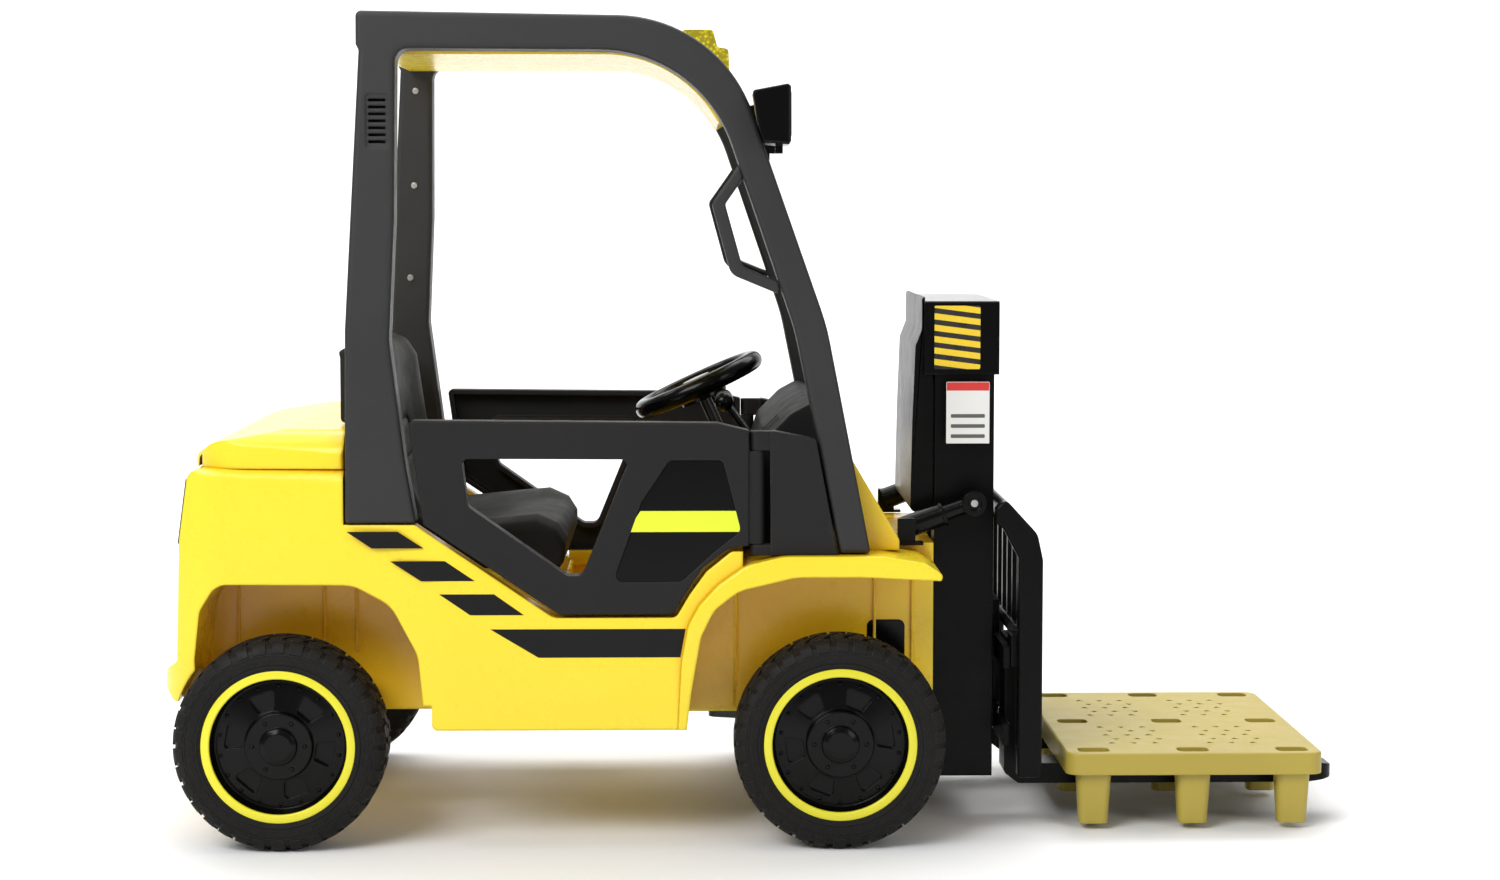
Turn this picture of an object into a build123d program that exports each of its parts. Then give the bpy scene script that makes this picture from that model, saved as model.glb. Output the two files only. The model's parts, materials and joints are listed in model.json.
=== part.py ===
"""Child's ride-on electric forklift with a lifting mast, twin forks and a small plastic pallet.

Millimetres. +X is forward, +Y is the driver's left, +Z is up. The origin is on the floor,
midway along the whole length and on the centre plane.
"""
from build123d import *
from math import cos, radians, sin, tan
import os

# ---------------------------------------------------------------- driving dimensions
total_length = 1270.0
wheel_radius = 112.0
wheel_width = 76.0
wheel_y = 242.0                 # middle plane of each wheel
rear_axle_x = -505.0
wheelbase = 587.0
front_axle_x = rear_axle_x + wheelbase
axle_radius = 6.0
running_gap = 0.06              # radial, on every turning bore
free_gap = 0.4                  # between parts that pass each other

skin = 4.0                      # moulded body wall
shell = 3.0                     # moulded guard and cover wall
body_half = 262.0               # side of the lower body
spine_half = 150.0              # side of the narrow middle body, between the front wheels
rear_spine_half = 130.0         # the same between the rear wheels
belly_z = 126.0                 # underside of the body
footwell_z = 150.0
seat_base_z = 285.0
hood_seam_z = 400.0
hood_top_z = 440.0
deck_z = 310.0                  # top of the front fenders
post_shelf_z = 342.4            # where the rear guard posts stand
guard_foot_gap = 2.0            # the leaning feet touch on their inner edge

guard_base_y = 262.0            # outer face of the overhead guard at its foot
guard_depth = 38.0              # guard thickness across the vehicle
guard_lean = 2.45               # degrees, both sides lean in towards the roof
guard_shells_meet_y = guard_base_y - guard_depth / 2

door_outer_y = 262.0
door_inner_y = 240.0
hinge_x = -5.0
hinge_y = -251.0
hinge_radius = 8.0
hinge_pin_radius = 3.0

wheel_hub = (-65.0, 473.0)      # middle of the steering wheel, x and z
column_tilt = 24.4              # degrees from vertical
steering_ring_radius = 67.0
steering_rim_radius = 10.5
crank_radius = 30.0
arm_length = 60.0               # steering arm, behind the kingpin
kingpin_y = 192.0
kingpin_radius = 8.0
tie_rod_z = 91.4
tie_rod_thick = 6.0

rail_back_x = 192.0
rail_front_x = 257.0
rail_outer_y = 122.0
rail_inner_y = 84.0
rail_wall = 6.0
mast_foot_z = 54.0
mast_top_z = 571.0
screw_x = 226.0

carriage_x = 263.0
fork_tip_x = total_length / 2
fork_y = 100.0
fork_width = 50.0
fork_top_z = 62.0
fork_thick = 22.0

pallet_back_x = 331.0
pallet_length = 278.0
pallet_width = 390.0
pallet_top_z = 86.0
pallet_skirt = 20.0
pallet_leg_foot_z = 7.0

parts = {}


# ---------------------------------------------------------------- helpers
def block(x0, x1, y0, y1, z0, z1):
    """Box between two corners."""
    return Pos((x0 + x1) / 2, (y0 + y1) / 2, (z0 + z1) / 2) * Box(x1 - x0, y1 - y0, z1 - z0)


def face_through(corners):
    """Flat face through corners (a, b, radius), each rounded by its radius."""
    edges = []
    ends = []
    for i, (a, b, radius) in enumerate(corners):
        here = Vector(a, b)
        before = Vector(*corners[i - 1][:2])
        after = Vector(*corners[(i + 1) % len(corners)][:2])
        if radius == 0:
            ends.append((here, here))
            continue
        back = (before - here).normalized()
        ahead = (after - here).normalized()
        half = radians(back.get_angle(ahead)) / 2
        start = here + back * (radius / tan(half))
        end = here + ahead * (radius / tan(half))
        middle = here + (back + ahead).normalized() * (radius / sin(half) - radius)
        edges.append(ThreePointArc(start, middle, end))
        ends.append((start, end))
    for i, (start, _) in enumerate(ends):
        edges.append(Line(ends[i - 1][1], start))
    return make_face(edges)


def side_face(face, y0, y1):
    """Extrude an (x, z) face across the vehicle, from y0 to y1."""
    return Pos(0, y1, 0) * (Plane.XZ * extrude(face, y1 - y0))


def side_prism(corners, y0, y1):
    return side_face(face_through(corners), y0, y1)


def front_prism(corners, x0, x1):
    """Extrude a (y, z) outline along the vehicle, from x0 to x1."""
    return Pos(x0, 0, 0) * (Plane.YZ * extrude(face_through(corners), x1 - x0))


def top_prism(corners, z0, z1):
    """Extrude an (x, y) outline upward, from z0 to z1."""
    return Pos(0, 0, z0) * extrude(face_through(corners), z1 - z0)


def rod(start, end, radius):
    """Round bar between two points."""
    start = Vector(*start)
    axis = Vector(*end) - start
    return Plane(origin=start, z_dir=axis) * Cylinder(
        radius, axis.length, align=(Align.CENTER, Align.CENTER, Align.MIN))


def tube(start, end, radius, bore):
    return rod(start, end, radius) - rod(start, end, bore)


def across(x, z, y0, y1, radius):
    """Round bar across the vehicle."""
    return rod((x, y0, z), (x, y1, z), radius)


def upright(x, y, z0, z1, radius):
    return rod((x, y, z0), (x, y, z1), radius)


def mirrored(shape):
    """The same piece on the other side of the vehicle."""
    return mirror(shape, about=Plane.XZ)


def both(shape):
    return [shape, mirrored(shape)]


def join(shapes):
    total = shapes[0]
    for shape in shapes[1:]:
        total = total + shape
    return total


def pair(name, right):
    """Keep a right-hand piece and its left-hand twin."""
    parts[name + "_right"] = right
    parts[name + "_left"] = mirrored(right)


# ---------------------------------------------------------------- wheels
def tyre():
    """Tyre about the Z axis, outer side up."""
    half = wheel_width / 2
    section = face_through([
        (80, -half + 3, 2), (96, -half, 6), (wheel_radius - 4, -half + 3, 6), (wheel_radius, -half + 14, 6),
        (wheel_radius, half - 14, 6), (wheel_radius - 4, half - 3, 6), (96, half, 6), (80, half - 3, 2)])
    return revolve(Plane.XZ * section, Axis.Z)


def rim():
    """Rim about the Z axis, outer side up: barrel, dished plate, hub and six blind windows."""
    section = face_through([
        (0, 30, 0), (0, 38, 0), (14, 38, 1), (19, 36, 1), (20, 32, 0), (35, 32, 1.5), (36, 25, 1),
        (68, 21, 1), (72, 33, 1), (80, 34, 0), (80, -34, 0), (75, -34, 0), (75, 12, 2), (16, 12, 0),
        (16, -27, 0), (axle_radius + running_gap, -27, 0), (axle_radius + running_gap, 30, 0)])
    body = revolve(Plane.XZ * section, Axis.Z)
    window = face_through([(38, -9, 3), (57, -15, 4), (57, 15, 4), (38, 9, 3)])
    for i in range(6):
        body -= Rot(0, 0, 60 * i + 30) * Pos(0, 0, 17) * extrude(window, 12)
    return body


def facing_right(shape, x):
    """Turn a wheel about Z into a right-hand wheel at x."""
    return Pos(x, -wheel_y, wheel_radius) * (Rot(90, 0, 0) * shape)


for place, x, turned in (("front", front_axle_x, -22), ("rear", rear_axle_x, 19.5)):
    pair("tyre_" + place, facing_right(tyre(), x))
    pair("rim_" + place, facing_right(Rot(0, 0, turned) * rim(), x))

# ---------------------------------------------------------------- rear axle and drive
hanger = side_prism([(-525, belly_z, 0), (-525, 104, 4), (-512, 96, 4), (-498, 96, 4), (-485, 104, 4),
                     (-485, belly_z, 0)], -112, -106)
parts["rear_axle"] = join([across(rear_axle_x, wheel_radius, -270, 270, axle_radius)] + both(hanger))

gear_case = side_prism([(-552, 84, 26), (-500, 62, 26), (-462, 92, 26), (-414, 130, 20), (-420, 176, 20),
                        (-462, 176, 20), (-540, 150, 26)], -199.5, -158)
gear_case -= across(rear_axle_x, wheel_radius, -200, -157, axle_radius)
motor_can = across(-440, 152, -158, -131, 18)
parts["drive_motors"] = Compound(children=both(gear_case + motor_can))

# ---------------------------------------------------------------- front axle and steering
axle_plate = top_prism([(-55, -140, 12), (-55, 140, 12), (60, 178, 8), (104, 178, 8), (104, -178, 8),
                        (60, -178, 8)], 118, belly_z)
axle_plate -= block(40, 98, -36, 36, 110, 130)
axle_plate += join(both(block(72, 92, -178, -38, 106, 118)))
for boss_y in (-kingpin_y, kingpin_y):
    axle_plate += upright(front_axle_x, boss_y, 92, 132, 15)
    axle_plate -= upright(front_axle_x, boss_y, 90, 134, kingpin_radius + running_gap)
parts["front_axle_beam"] = axle_plate

knuckle = block(66, 98, -214, -180, 132.5, 138) + block(66, 98, -214, -180, 85, 91)
knuckle += block(66, 98, -214, -208.2, 85, 138)
knuckle += upright(front_axle_x, -kingpin_y, 85, 138, kingpin_radius)
knuckle += across(front_axle_x, wheel_radius, -270, -208.2, axle_radius)
arm_pin_x = front_axle_x - arm_length
knuckle += top_prism([(arm_pin_x - 9, -201, 8), (arm_pin_x - 9, -183, 8), (70, -183, 0), (70, -201, 0)],
                     85, 91)
knuckle += upright(arm_pin_x, -kingpin_y, 90, 101, 3)
pair("knuckle", knuckle)

column_down = Vector(sin(radians(column_tilt)), 0, -cos(radians(column_tilt)))
column_back = Vector(-cos(radians(column_tilt)), 0, -sin(radians(column_tilt)))
hub_point = Vector(wheel_hub[0], 0, wheel_hub[1])
crank_drop = (wheel_hub[1] - 134) / cos(radians(column_tilt))
crank_root = hub_point + column_down * crank_drop
crank_end = crank_root + column_back * crank_radius
column_plane = Plane(origin=crank_root, x_dir=column_back, z_dir=column_down)

shaft = rod(hub_point + column_down * 8, crank_root + column_down * 4, 7)
crank = column_plane * extrude(face_through([
    (-11, -11, 10), (crank_radius + 8, -8, 7), (crank_radius + 8, 8, 7), (-11, 11, 10)]), 6)
crank_pin = rod(crank_end, crank_end + column_down * 34, 3)
parts["steering_shaft"] = shaft + crank + crank_pin

tie_bar = top_prism([(arm_pin_x - 10, -200, 9), (arm_pin_x - 10, 200, 9), (arm_pin_x + 10, 200, 9),
                     (arm_pin_x + 10, -200, 9)], tie_rod_z, tie_rod_z + tie_rod_thick)
tie_bar += top_prism([(arm_pin_x, -24, 0), (arm_pin_x, 24, 0), (102, 20, 8), (102, -20, 8)],
                     tie_rod_z, tie_rod_z + tie_rod_thick)
tie_bar -= top_prism([(64, -6, 5), (64, 6, 5), (92, 6, 5), (92, -6, 5)], 80, 110)
for pin_y in (-kingpin_y, kingpin_y):
    tie_bar -= top_prism([(arm_pin_x - 4, pin_y - 4.2, 4), (arm_pin_x - 4, pin_y + 4.2, 4),
                          (arm_pin_x + 9, pin_y + 4.2, 4), (arm_pin_x + 9, pin_y - 4.2, 4)], 80, 110)
parts["tie_rod"] = tie_bar

steering_plane = Plane(origin=hub_point, x_dir=column_back, z_dir=column_down * -1)
ring = Torus(steering_ring_radius, steering_rim_radius)
hub = Pos(0, 0, -6) * (Cylinder(27, 22) - Pos(0, 0, 8) * Cylinder(16.5, 12))
hub -= Pos(0, 0, -14) * Cylinder(7, 12)
spokes = []
for turn in (0, 125, 235):
    spokes.append(Rot(0, 0, turn) * Pos(44, 0, -4) * Box(46, 24, 9))
wheel_body = ring + hub + join(spokes)
horn_recess = Pos(0, 0, 2) * Cylinder(16.5, 12)
parts["steering_wheel"] = steering_plane * (wheel_body - horn_recess)
parts["horn_button"] = steering_plane * (Pos(0, 0, 4) * Cylinder(16, 8))

# ---------------------------------------------------------------- body tub
arch_foot_x = -88.0
fender_outer = [(arch_foot_x, belly_z, 0), (-84, 200, 80), (-77, 238, 30), (-66, 258, 30), (-46, 280, 30),
                (-16, 301, 40), (22, deck_z, 60), (128, deck_z, 40), (170, 303, 12), (189, 290, 4)]
fender_inner = [(187, 284, 2), (104, 288, 0), (36, 288, 60), (-24, 274, 40), (-50, 254, 30), (-64, 226, 30),
                (-74, 168, 60), (-79, belly_z, 0)]

tub_outline = face_through([
    (-622, 152, 6), (-635.5, 166, 5), (-631, 184, 5), (-617, 194, 6), (-612, 324, 80),
    (-600, hood_seam_z, 14), (-437, hood_seam_z, 4), (-437, post_shelf_z, 0), (-362, post_shelf_z, 3),
    (-218, 244.5, 18),
    (-90, 244.5, 8), (-75.5, 269, 10), (-58, 293, 12), (-32, 314, 8), (-20, 314, 0), (-20, belly_z, 0),
    (-346, belly_z, 6), (-346, 152, 0)])
tub_plan = [(-636, -246, 70), (-420, -256, 60), (-330, -body_half, 60), (200, -body_half, 0),
            (200, body_half, 0), (-330, body_half, 60), (-420, 256, 60), (-636, 246, 70)]
rear_arch = [(-592, 100, 0), (-596, 199, 0), (-590, 250, 20), (-572, 279, 22), (-428, 279, 40),
             (-388, 258, 40), (-360, 205, 40), (-350, 100, 0)]

tub = side_face(tub_outline, -body_half, body_half)
tub &= top_prism(tub_plan, 100, 500)
tub &= front_prism([(-body_half, 100, 0), (-body_half, hood_seam_z, 30), (body_half, hood_seam_z, 30),
                    (body_half, 100, 0)], -640, 200)
for edge_side in (-1, 1):
    outer_y, rear_y, front_y = edge_side * 280, edge_side * rear_spine_half, edge_side * spine_half
    tub -= side_prism(rear_arch, min(outer_y, rear_y), max(outer_y, rear_y))
    tub -= side_prism(fender_outer + [(189, 100, 0), (arch_foot_x, 100, 0)], min(outer_y, front_y),
                      max(outer_y, front_y))
tub += block(-30, 189, -spine_half, spine_half, belly_z, deck_z)
tub += block(-440, -398, -218, 218, 300, hood_seam_z)
tub += block(-602 - skin, -345, -rear_spine_half, rear_spine_half, belly_z, 160)
rear_bay = block(-602, -408, -rear_spine_half + skin, rear_spine_half - skin, belly_z + skin, 420)
side_bays = top_prism([(-590, -238, 50), (-441, -244, 0), (-441, 244, 0), (-590, 238, 50)], 283, 396)
seat_well = block(-398, -214, -238, 238, seat_base_z, 420)
foot_well = block(-216, -24, -238, 238, footwell_z, 420)
under_seat = block(-345, -220, -234, 234, 100, seat_base_z - skin)
under_seat += block(-398, -300, -126, 126, 100, seat_base_z - skin)
under_floor = block(-222, -92, -258, 258, 100, footwell_z - skin)
sills = join(both(block(-342, -93, -258, -242, 100, 238)))
nose_bay = block(-20, 185, -spine_half + skin, spine_half - skin, 100, deck_z - skin)
dash_seat = block(-60, -19, -238, 238, deck_z, 330)
column_hole = rod(hub_point, crank_root, 13)
for hollow in (rear_bay, side_bays, seat_well, foot_well, under_seat, under_floor, sills, nose_bay,
               dash_seat, column_hole):
    tub -= hollow
wheel_clearance = across(rear_axle_x, wheel_radius, -290, -198, wheel_radius + 6)
tub -= wheel_clearance + mirrored(wheel_clearance)

door_stop = side_prism([(-222, 238, 0), (-222, 256, 0), (-98, 256, 8), (-86, 276, 10), (-68, 302, 12), (-40, 324, 8),
                        (-20, 324, 0), (-20, 308, 0), (-30, 304, 0), (-60, 286, 0), (-80, 262, 0), (-92, 238, 0)],
                       -door_inner_y + free_gap, -233.5)
tub += join(both(door_stop))

lamp = side_prism([(-603, 324, 3), (-598, 393, 2), (-583, 385, 2), (-589, 352, 0), (-596, 329, 2)], -243, -205)
lamp &= top_prism([(-612, -238, 60), (-500, -250, 0), (-500, -180, 0), (-612, -180, 0)], 300, 420)
parts["tail_lamps"] = Compound(children=both(lamp))
tub -= lamp + mirrored(lamp)
pedal_pivot = (-112.0, 164.0)
for stand_y in (-116, -60):
    tub += block(-122, -102, stand_y, stand_y + 4, footwell_z - 1, 172)
tub += across(*pedal_pivot, -116, -56, 3)
parts["body_tub"] = tub

hood_outline = face_through([
    (-600, hood_seam_z, 0), (-597, 412, 10), (-576, 427, 30), (-500, hood_top_z, 90), (-404, hood_top_z, 3),
    (-404, hood_seam_z, 0)])
hood_plan = [(-600, -238, 62), (-437.4, -245, 4), (-437.4, -217, 0), (-404, -217, 4), (-404, 217, 4),
             (-437.4, 217, 0), (-437.4, 245, 4), (-600, 238, 62)]
hood = side_face(hood_outline, -250, 250) & top_prism(hood_plan, 390, 450)
hood &= front_prism([(-246, 390, 0), (-246, hood_top_z, 34), (246, hood_top_z, 34), (246, 390, 0)], -640, -400)
hood_inside = side_prism([(-595, 390, 0), (-593, 411, 8), (-574, 423, 28), (-500, 436, 90), (-407, 436, 2),
                          (-407, 390, 0)], -213, 213)
hood -= hood_inside
parts["rear_hood"] = hood

fender_face = face_through(fender_outer + fender_inner)
fender = side_face(fender_face, -275, -spine_half)
fender = fillet(fender.edges().group_by(Axis.Y)[0], 2)
fender -= side_face(offset(fender_face, amount=-shell), -258, -spine_half + 1)
fender &= front_prism([(-276, 330, 0), (-276, 262, 80), (-body_half - 1, belly_z, 0), (-spine_half, belly_z, 0),
                       (-spine_half, 330, 0)], arch_foot_x - 2, 200)
pair("fender", fender)

# ---------------------------------------------------------------- cab furniture
cowl_half = 217.0
cowl_face = face_through([(73, deck_z, 0), (90, 414, 4), (98, 404, 6), (147, 321, 6), (147, deck_z, 0)])
cowl = side_face(cowl_face, -cowl_half, cowl_half)
cowl -= side_face(offset(cowl_face, amount=-shell), -cowl_half + shell, cowl_half - shell)
cowl -= block(80, 142, -cowl_half + shell, cowl_half - shell, deck_z - 1, deck_z + 6)
parts["front_cowl"] = cowl

dash_face = face_through([
    (-19, deck_z, 0), (-19, 350, 14), (6, 428, 14), (32, 454, 14), (54, 466, 12), (74, 456, 12), (86, 416, 4),
    (71, deck_z, 0)])
dash = side_face(dash_face, -206, 206)
dash -= side_face(offset(dash_face, amount=-shell), -203, 203)
dash -= block(-15, 67, -203, 203, deck_z - 1, deck_z + 6)
dash -= rod(hub_point, crank_root, 9)
lever_pivot = (6.0, 402.0)
lever_rows = (("drive_lever", -126), ("lift_lever", -100), ("tilt_lever", -74))
for _, lever_y in lever_rows:
    dash -= block(-34, 22, lever_y - 5, lever_y + 5, 392, 460)
dash += across(lever_pivot[0], lever_pivot[1], -144, -56, 2.5)
dash += join([block(lever_pivot[0] - 6, 40, y, y + 3, 390, 436) & side_face(dash_face, -206, 206)
              for y in (-144, -59)])
parts["dashboard"] = dash

lever_axis = Vector(-44, 0, 60)
lever_length = lever_axis.length
for name, lever_y in lever_rows:
    lever_plane = Plane(origin=(lever_pivot[0], lever_y, lever_pivot[1]), x_dir=(0, 1, 0), z_dir=lever_axis)
    stalk = Cylinder(3.5, lever_length, align=(Align.CENTER, Align.CENTER, Align.MIN))
    lever = lever_plane * (stalk + Pos(0, 0, lever_length) * Sphere(10.5))
    lever += across(*lever_pivot, lever_y - 4.5, lever_y + 4.5, 6)
    lever -= across(*lever_pivot, lever_y - 6, lever_y + 6, 2.5 + running_gap)
    parts[name] = lever

seat_face = face_through([
    (-396, 285.4, 0), (-218, 285.4, 8), (-212, 322, 20), (-240, 343, 20), (-335, 333, 25), (-374, 372, 40),
    (-396, 505, 20), (-430, 528, 14), (-453, 516, 10), (-449, 441, 6), (-400, 441, 0), (-397, 400, 0)])
seat_half = 165.0
seat = side_face(seat_face, -seat_half, seat_half)
seat -= side_face(offset(seat_face, amount=-shell), -seat_half + shell, seat_half - shell)
seat -= block(-390, -230, -seat_half + shell, seat_half - shell, seat_base_z, seat_base_z + 5)
parts["seat"] = seat

pedal = side_prism([(-116, 168, 2), (-42, 204, 4), (-38, 198, 3), (-108, 159, 3)], -111.5, -60.5)
pedal += across(*pedal_pivot, -111.5, -60.5, 6)
pedal -= across(*pedal_pivot, -112, -60, 3 + running_gap)
parts["foot_pedal"] = pedal

battery = block(-590, -470, -75, 75, belly_z + skin, 290)
battery += block(-575, -560, -60, -45, 290, 300) + block(-575, -560, 45, 60, 290, 300)
parts["battery"] = battery

# ---------------------------------------------------------------- overhead guard
guard_corners = [
    (-421, 842, 0), (-421, 877, 6), (-44, 871, 150), (68, 550, 250), (114, deck_z + guard_foot_gap, 3),
    (82, deck_z + guard_foot_gap, 3), (35, 545, 200), (-64, 836, 145), (-380, 838, 14), (-382, 660, 0),
    (-388, 535, 40), (-372, 409, 60), (-361, post_shelf_z + guard_foot_gap, 3),
    (-435, post_shelf_z + guard_foot_gap, 3), (-434, 545, 0), (-418, 836, 0)]


def leaning(shape):
    """Lean a right-hand piece in towards the roof, about the foot of the guard."""
    foot = Pos(0, -guard_base_y, deck_z)
    return foot * (Rot(-guard_lean, 0, 0) * (foot.inverse() * shape))


guard_face = face_through(guard_corners)
guard_core = offset(guard_face, amount=-shell)
guard_outer = side_face(guard_face, -guard_base_y, -guard_shells_meet_y)
guard_outer = fillet(guard_outer.edges().group_by(Axis.Y)[0], 5)
guard_outer -= side_face(guard_core, -guard_base_y + shell, -guard_shells_meet_y + 1)
vent = face_through([(-411, 735, 4), (-387, 735, 4), (-387, 791, 4), (-411, 791, 4)])
guard_outer -= side_face(vent, -guard_base_y - 1, -guard_base_y + 1.2)
for slat in range(7):
    slat_z = 739.5 + slat * 7.2
    guard_outer -= block(-408, -390, -guard_base_y - 2, -guard_base_y + 5, slat_z, slat_z + 3)
pair("guard_outer", leaning(guard_outer))

guard_inner = side_face(guard_face, -guard_shells_meet_y, -guard_base_y + guard_depth)
guard_inner = fillet(guard_inner.edges().group_by(Axis.Y)[-1], 5)
guard_inner -= side_face(guard_core, -guard_shells_meet_y - 1, -guard_base_y + guard_depth - shell)
pair("guard_inner", leaning(guard_inner))

roof_half = 200.0
roof_face = face_through([
    (-408, 833, 2), (-408, 848, 3), (-77.4, 848, 150), (-32, 769.5, 2), (-45, 762, 2), (-86, 833, 136)])
roof = side_face(roof_face, -roof_half, roof_half)
for bar in range(-2, 3):
    roof += block(-394, -164, bar * 72 - 14, bar * 72 + 14, 846, 853)
parts["roof_panel"] = roof

beacon = side_prism([(-96, 832, 0), (-88, 860, 6), (-80, 867, 4), (-49, 867, 5), (-44, 848, 3), (-32, 846, 4),
                     (-29, 792, 3), (-50, 787, 0), (-96, 816, 0)], -62, 62)
parts["roof_beacon"] = beacon - roof

handle_face = face_through([
    (-21, 722, 2), (-52, 678, 9), (-32, 604, 16), (19, 583, 2), (19, 596, 2), (-20, 612, 10), (-38, 677, 6),
    (-19, 704, 2)])
handle = side_face(handle_face, -guard_base_y + 6, -guard_base_y + 32)
handle = fillet(handle.edges().group_by(Axis.Y)[0], 2.5)
handle -= side_face(offset(handle_face, amount=-shell), -guard_base_y + 10, -guard_base_y + 33)
handle -= side_face(guard_face, -guard_base_y, -guard_base_y + guard_depth)
pair("grab_handle", leaning(handle))

light = side_prism([(-10, 793, 3), (27, 800, 3), (30, 797, 2), (30, 741, 2), (28, 737, 2), (-1, 739, 3)], -286, -246)
light = fillet(light.edges().group_by(Axis.Y)[0], 3)
light -= side_face(guard_face, -300, -200)
light += block(14, 22, -262, -252, 729, 740)
lens_pocket = block(27.5, 40, -281, -251, 746, 791)
pair("work_light", leaning(light - lens_pocket))
lens = leaning(block(27.5, 30.5, -281, -251, 746, 791))
parts["work_light_lenses"] = Compound(children=both(lens))

# ---------------------------------------------------------------- doors and fixed side panels
door_corners = [(-353, 343, 4), (-368, 452, 5), (-47, 449, 0), (-13.6, 441, 2), (-13.6, 320, 2), (-34, 318, 12),
                (-62, 297, 12), (-79, 272, 10), (-93, 248, 8), (-212, 248, 8)]
window = [(-313, 412, 6), (-138, 411, 6), (-188, 289, 9), (-204, 289, 9), (-307, 362, 9)]
insert_pocket = [(-97, 410, 6), (-41, 410, 6), (-22, 336, 8), (-50, 314, 14), (-84, 283, 10), (-156, 282, 8),
                 (-126, 366, 12)]
door = side_prism(door_corners, -door_outer_y, -door_inner_y)
door = fillet(door.edges().group_by(Axis.Y)[0], 2)
door -= side_face(offset(face_through(door_corners), amount=-6), -door_outer_y + 4, -door_inner_y + 1)
rims = side_face(offset(face_through(window), amount=6), -door_outer_y + 4, -door_inner_y)
door += rims
door -= side_prism(window, -300, -200)
door -= side_prism(insert_pocket, -door_outer_y - 1, -door_outer_y + 2)
door += upright(hinge_x, hinge_y, 321.5, 419.5, hinge_radius)
door += block(-22, hinge_x, hinge_y - hinge_radius, hinge_y + hinge_radius, 322, 419)
door -= upright(hinge_x, hinge_y, 300, 440, hinge_pin_radius + running_gap)
pair("door", door)

pins = [upright(hinge_x, hinge_y, 311, 335, hinge_pin_radius), upright(hinge_x, hinge_y, 405, 439, hinge_pin_radius)]
parts["door_hinge_pins"] = Compound(children=pins + [mirrored(pin) for pin in pins])

panel = side_prism([(9, deck_z, 0), (9, 441, 3), (56, 432, 3), (79.5, deck_z, 0)], -door_outer_y, -door_inner_y)
panel -= side_prism([(13, deck_z - 1, 0), (13, 436, 2), (52, 428, 2), (75.5, deck_z - 1, 0)],
                    -door_outer_y + 4, -door_inner_y + 1)
for lug_z0, lug_z1 in ((deck_z, 321), (420, 440)):
    panel += upright(hinge_x, hinge_y, lug_z0, lug_z1, hinge_radius)
    panel += block(hinge_x, 13, hinge_y - hinge_radius, hinge_y + hinge_radius, lug_z0, lug_z1)
    panel -= upright(hinge_x, hinge_y, max(lug_z0, 311), min(lug_z1, 439), hinge_pin_radius)
pair("side_panel", panel)

# ---------------------------------------------------------------- mast
rail = block(rail_back_x, rail_front_x, -rail_outer_y, -rail_inner_y, mast_foot_z, mast_top_z - 11)
rail -= block(rail_back_x + rail_wall, rail_front_x - rail_wall, -rail_outer_y + rail_wall, -rail_inner_y + 1,
              mast_foot_z + 8, mast_top_z)
rail += block(rail_back_x, rail_front_x, -rail_outer_y, 0, mast_foot_z - 6, mast_foot_z)
rail += block(rail_back_x - 3, rail_back_x, -140, -rail_inner_y, 140, 280)
pair("mast_rail", rail)

cap = block(180, 262, -126, 126, 491, mast_top_z)
cap = fillet(cap.edges().filter_by(Axis.X).group_by(Axis.Z)[-1], 4)
cap -= block(183, 270, -rail_outer_y, rail_outer_y, 480, mast_top_z - 11)
cap -= block(170, 190, -118, 118, 480, mast_top_z - 11)
parts["mast_top_cap"] = cap

cover = side_prism([(153, 340, 6), (155, 436, 0), (158, 524, 10), (166, 541, 10), (166, 576, 4), (179.6, 576, 2),
                    (179.6, 491, 0), (191.6, 480, 0), (191.6, 340, 2)], -118, 118)
cover = fillet(cover.edges().filter_by(Axis.Z).group_by(Axis.X)[0], 3)
cover -= block(158, 200, -115, 115, 343, 470) + block(170, 200, -115, 115, 460, 560)
parts["mast_back_cover"] = cover

strut_eye = (232.0, 354.0)
strut_slope = radians(20)
sleeve_front = (strut_eye[0] - 34 * cos(strut_slope), -154, strut_eye[1] - 34 * sin(strut_slope))
sleeve_back = (strut_eye[0] - 82 * cos(strut_slope), -154, strut_eye[1] - 82 * sin(strut_slope))
strut = across(*strut_eye, -168, -rail_outer_y, 13.5)
strut -= across(*strut_eye, -170, -163, 7.5)
strut += rod((strut_eye[0], -154, strut_eye[1]), sleeve_front, 9)
strut += rod(sleeve_front, sleeve_back, 12.5)
strut += rod(sleeve_front, (sleeve_front[0] - 3, -154, sleeve_front[2] - 1.1), 14)
strut += block(149, 168, -168, -156.5, deck_z, 338)
strut += block(148, 176, -175, -156.5, deck_z, 313)
pair("strut", strut)

lift_screw = upright(screw_x, 0, mast_foot_z + free_gap, 505, 5)
lift_screw += upright(screw_x, 0, 494, 505, 9)
parts["lift_screw"] = lift_screw
lift_motor = block(200, 251, -30, 30, 505.4, 530) + upright(screw_x, 0, 530, 558, 19)
lift_motor += block(198.4, 250.6, -115.6, 115.6, 530, 536)
parts["lift_motor"] = lift_motor
# ---------------------------------------------------------------- carriage, backrest and forks
carriage = block(carriage_x, 270, -178, 178, 92, 116) + block(carriage_x, 270, -178, 178, 176, 200)
carriage += block(carriage_x, 270, -70, 70, 92, 236)
for block_z in (96, 172):
    for side_sign in (-1, 1):
        near, far = 62 * side_sign, 115 * side_sign
        carriage += block(199, 250, min(near, far), max(near, far), block_z, block_z + 26)
        inner, outer = 62 * side_sign, 82 * side_sign
        carriage += block(199, 268, min(inner, outer), max(inner, outer), block_z, block_z + 26)
carriage += block(212, 268, -18, 18, 130, 156)
carriage -= upright(screw_x, 0, 120, 170, 6)
parts["carriage"] = carriage

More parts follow.
